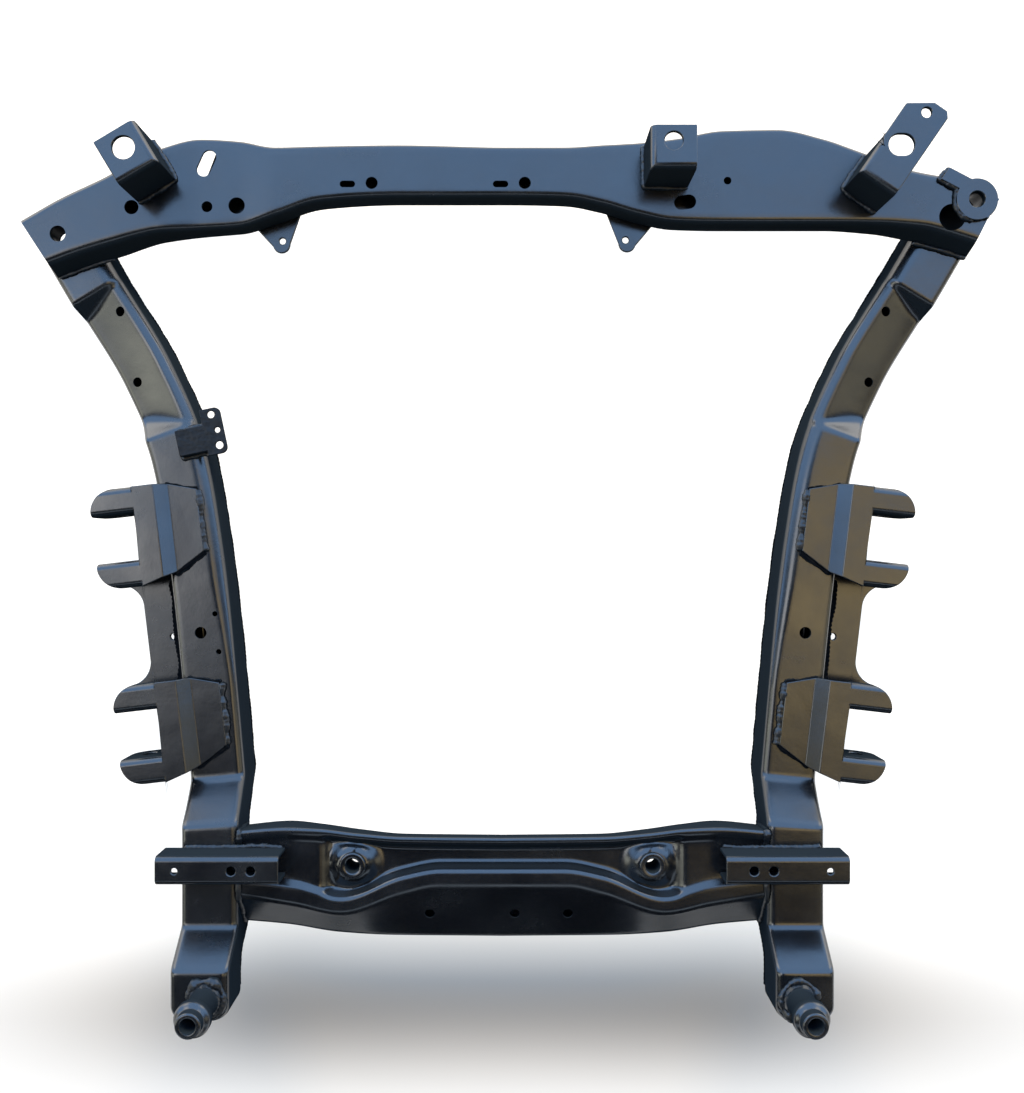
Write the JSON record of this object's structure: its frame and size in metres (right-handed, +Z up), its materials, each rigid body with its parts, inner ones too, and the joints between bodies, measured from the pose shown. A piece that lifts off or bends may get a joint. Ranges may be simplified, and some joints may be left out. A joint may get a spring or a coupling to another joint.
{
  "type": "front subframe",
  "caption": "Welded pressed-steel front subframe in gloss black: curved, stepped box rails joined by a rear and a front crossmember, with forked control-arm brackets.",
  "frame": {"origin": "on the floor under the rails, on the plane half way between them, half way between the front and rear ends", "axes": "+X to the car's right, +Y to its rear, +Z up"},
  "size_m": [0.888, 0.7916, 0.1803],
  "materials": {
    "black_paint": "gloss black paint over pressed steel",
    "bare_steel": "dull drawn tube"
  },
  "bodies": {
    "root": {"rear_beam_upper": "black_paint", "rear_beam_lower": "black_paint", "rack_bracket_left": "black_paint", "rack_bracket_centre": "black_paint", "rack_bracket_right": "black_paint", "shield_tab_left": "black_paint", "shield_tab_right": "black_paint", "rear_mount_plate": "black_paint", "rear_sleeve_left": "bare_steel", "rear_sleeve_right": "bare_steel", "rail_upper_left": "black_paint", "rail_upper_right": "black_paint", "rail_lower_left": "black_paint", "rail_lower_right": "black_paint", "rail_end_cap_left": "black_paint", "rail_end_cap_right": "black_paint", "arm_bracket_rear_left": "black_paint", "arm_bracket_front_left": "black_paint", "arm_bracket_rear_right": "black_paint", "arm_bracket_front_right": "black_paint", "arm_web_left": "black_paint", "arm_web_right": "black_paint", "line_bracket": "black_paint", "front_pin_left": "black_paint", "front_pin_right": "black_paint", "front_beam_upper": "black_paint", "front_beam_lower": "black_paint", "front_boss_left": "black_paint", "front_boss_right": "black_paint", "radiator_bracket_left": "black_paint", "radiator_bracket_right": "black_paint"}
  },
  "joints": []
}
